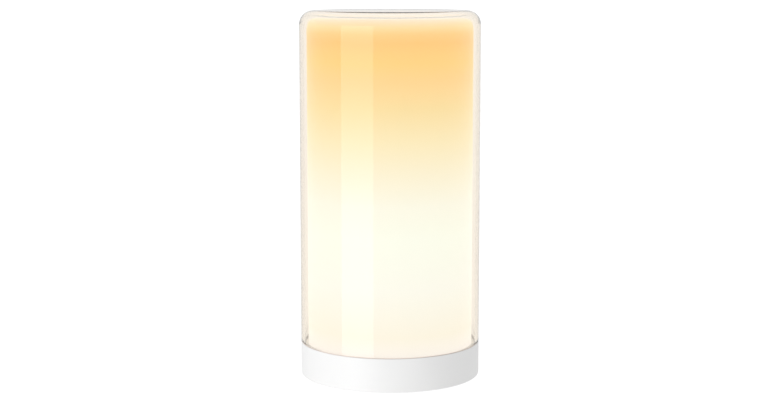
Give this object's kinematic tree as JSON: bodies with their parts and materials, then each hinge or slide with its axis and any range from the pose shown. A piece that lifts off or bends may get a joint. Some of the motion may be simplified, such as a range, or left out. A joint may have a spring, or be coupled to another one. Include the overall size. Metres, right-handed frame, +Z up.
{
  "type": "smart speaker lamp",
  "caption": "Tabletop smart speaker lamp: clear round shell over a warm glowing diffuser, on a low white base with a down-firing speaker.",
  "frame": {"origin": "centre of the underside, on the plane that the feet rest on", "axes": "+Z up through the lamp, -Y towards the front, +Y towards the inlet and buttons at the rear"},
  "size_m": [0.098, 0.098, 0.201],
  "materials": {
    "clear_shell": "gloss",
    "opal_diffuser": "satin",
    "white_housing": "satin",
    "white_inner": "matte",
    "grey_rubber": "matte",
    "speaker_cloth": "woven",
    "black_foam": "matte",
    "paper_cone": "matte",
    "amber_damper": "woven",
    "copper_winding": "gloss",
    "aluminium": "satin",
    "steel": "satin",
    "ferrite": "matte",
    "green_board": "satin",
    "white_board": "satin",
    "black_plastic": "matte"
  },
  "bodies": {
    "lamp_body": {"outer_shell": "clear_shell", "diffuser": "opal_diffuser", "base_housing": "white_housing", "bottom_cover": "white_inner", "light_plate": "white_inner", "core_cap": "white_inner", "shell_gasket": "grey_rubber", "foot_1": "grey_rubber", "foot_2": "grey_rubber", "foot_3": "grey_rubber", "foot_4": "grey_rubber", "grille_cloth": "speaker_cloth", "driver_gasket": "black_foam", "surround": "black_foam", "spider": "amber_damper", "led_core": "aluminium", "radio_module": "aluminium", "processor_shield": "aluminium", "bulk_capacitor": "aluminium", "driver_basket": "steel", "top_plate": "steel", "yoke": "steel", "inlet_receptacle": "steel", "plate_screw_1": "steel", "plate_screw_2": "steel", "plate_screw_3": "steel", "cover_screw_1": "steel", "cover_screw_2": "steel", "cover_screw_3": "steel", "cover_screw_4": "steel", "driver_screw_1": "steel", "driver_screw_2": "steel", "driver_screw_3": "steel", "driver_screw_4": "steel", "magnet": "ferrite", "power_inductor": "ferrite", "main_board": "green_board", "led_strip_1": "white_board", "led_strip_2": "white_board", "led_strip_3": "white_board", "led_strip_4": "white_board", "board_connector": "white_board", "lamp_connector": "white_board", "inlet_tongue": "black_plastic", "microphone_left": "black_plastic", "microphone_right": "black_plastic", "led_harness": "black_plastic", "power_switch": "black_plastic", "volume_down_switch": "black_plastic", "volume_up_switch": "black_plastic"},
    "cone_assembly": {"cone": "paper_cone", "dust_cap": "paper_cone", "voice_coil": "copper_winding"},
    "power_key": {"power_button": "white_housing", "power_plunger": "black_plastic"},
    "volume_down_key": {"volume_down_button": "white_housing", "volume_down_plunger": "black_plastic"},
    "volume_up_key": {"volume_up_button": "white_housing", "volume_up_plunger": "black_plastic"}
  },
  "joints": [
    {"name": "cone_travel", "type": "slide", "parent": "lamp_body", "child": "cone_assembly", "axis": [0, 0, 1], "range_m": [-0.001, 0.001], "stiffness_N_per_m": 800, "deforming": ["surround", "spider"]},
    {"name": "power_press", "type": "slide", "parent": "lamp_body", "child": "power_key", "axis": [0.342, -0.9397, 0], "range_m": [0, 0.0006], "stiffness_N_per_m": 1000},
    {"name": "volume_down_press", "type": "slide", "parent": "lamp_body", "child": "volume_down_key", "axis": [0.5299, -0.848, 0], "range_m": [0, 0.0006], "stiffness_N_per_m": 1000},
    {"name": "volume_up_press", "type": "slide", "parent": "lamp_body", "child": "volume_up_key", "axis": [0.6947, -0.7193, 0], "range_m": [0, 0.0006], "stiffness_N_per_m": 1000}
  ]
}
